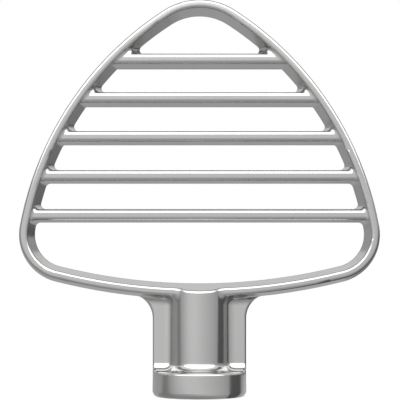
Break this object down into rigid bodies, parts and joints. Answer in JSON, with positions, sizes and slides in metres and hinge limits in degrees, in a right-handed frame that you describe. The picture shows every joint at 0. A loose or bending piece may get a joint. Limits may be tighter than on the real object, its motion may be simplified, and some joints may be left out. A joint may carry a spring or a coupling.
{
  "type": "pastry beater",
  "caption": "One-piece cast steel pastry beater for a stand mixer: an open rounded triangle crossed by parallel bars, on a collared hub with a bayonet shaft socket",
  "frame": {"origin": "centre of the hub's end face", "axes": "+Z along the shaft axis from the hub's end face to the tip of the loop, X across the loop, front towards -Y"},
  "size_m": [0.133, 0.0342, 0.1464],
  "materials": {
    "steel": "satin"
  },
  "bodies": {
    "root": {"pastry_beater": "steel"}
  },
  "joints": []
}
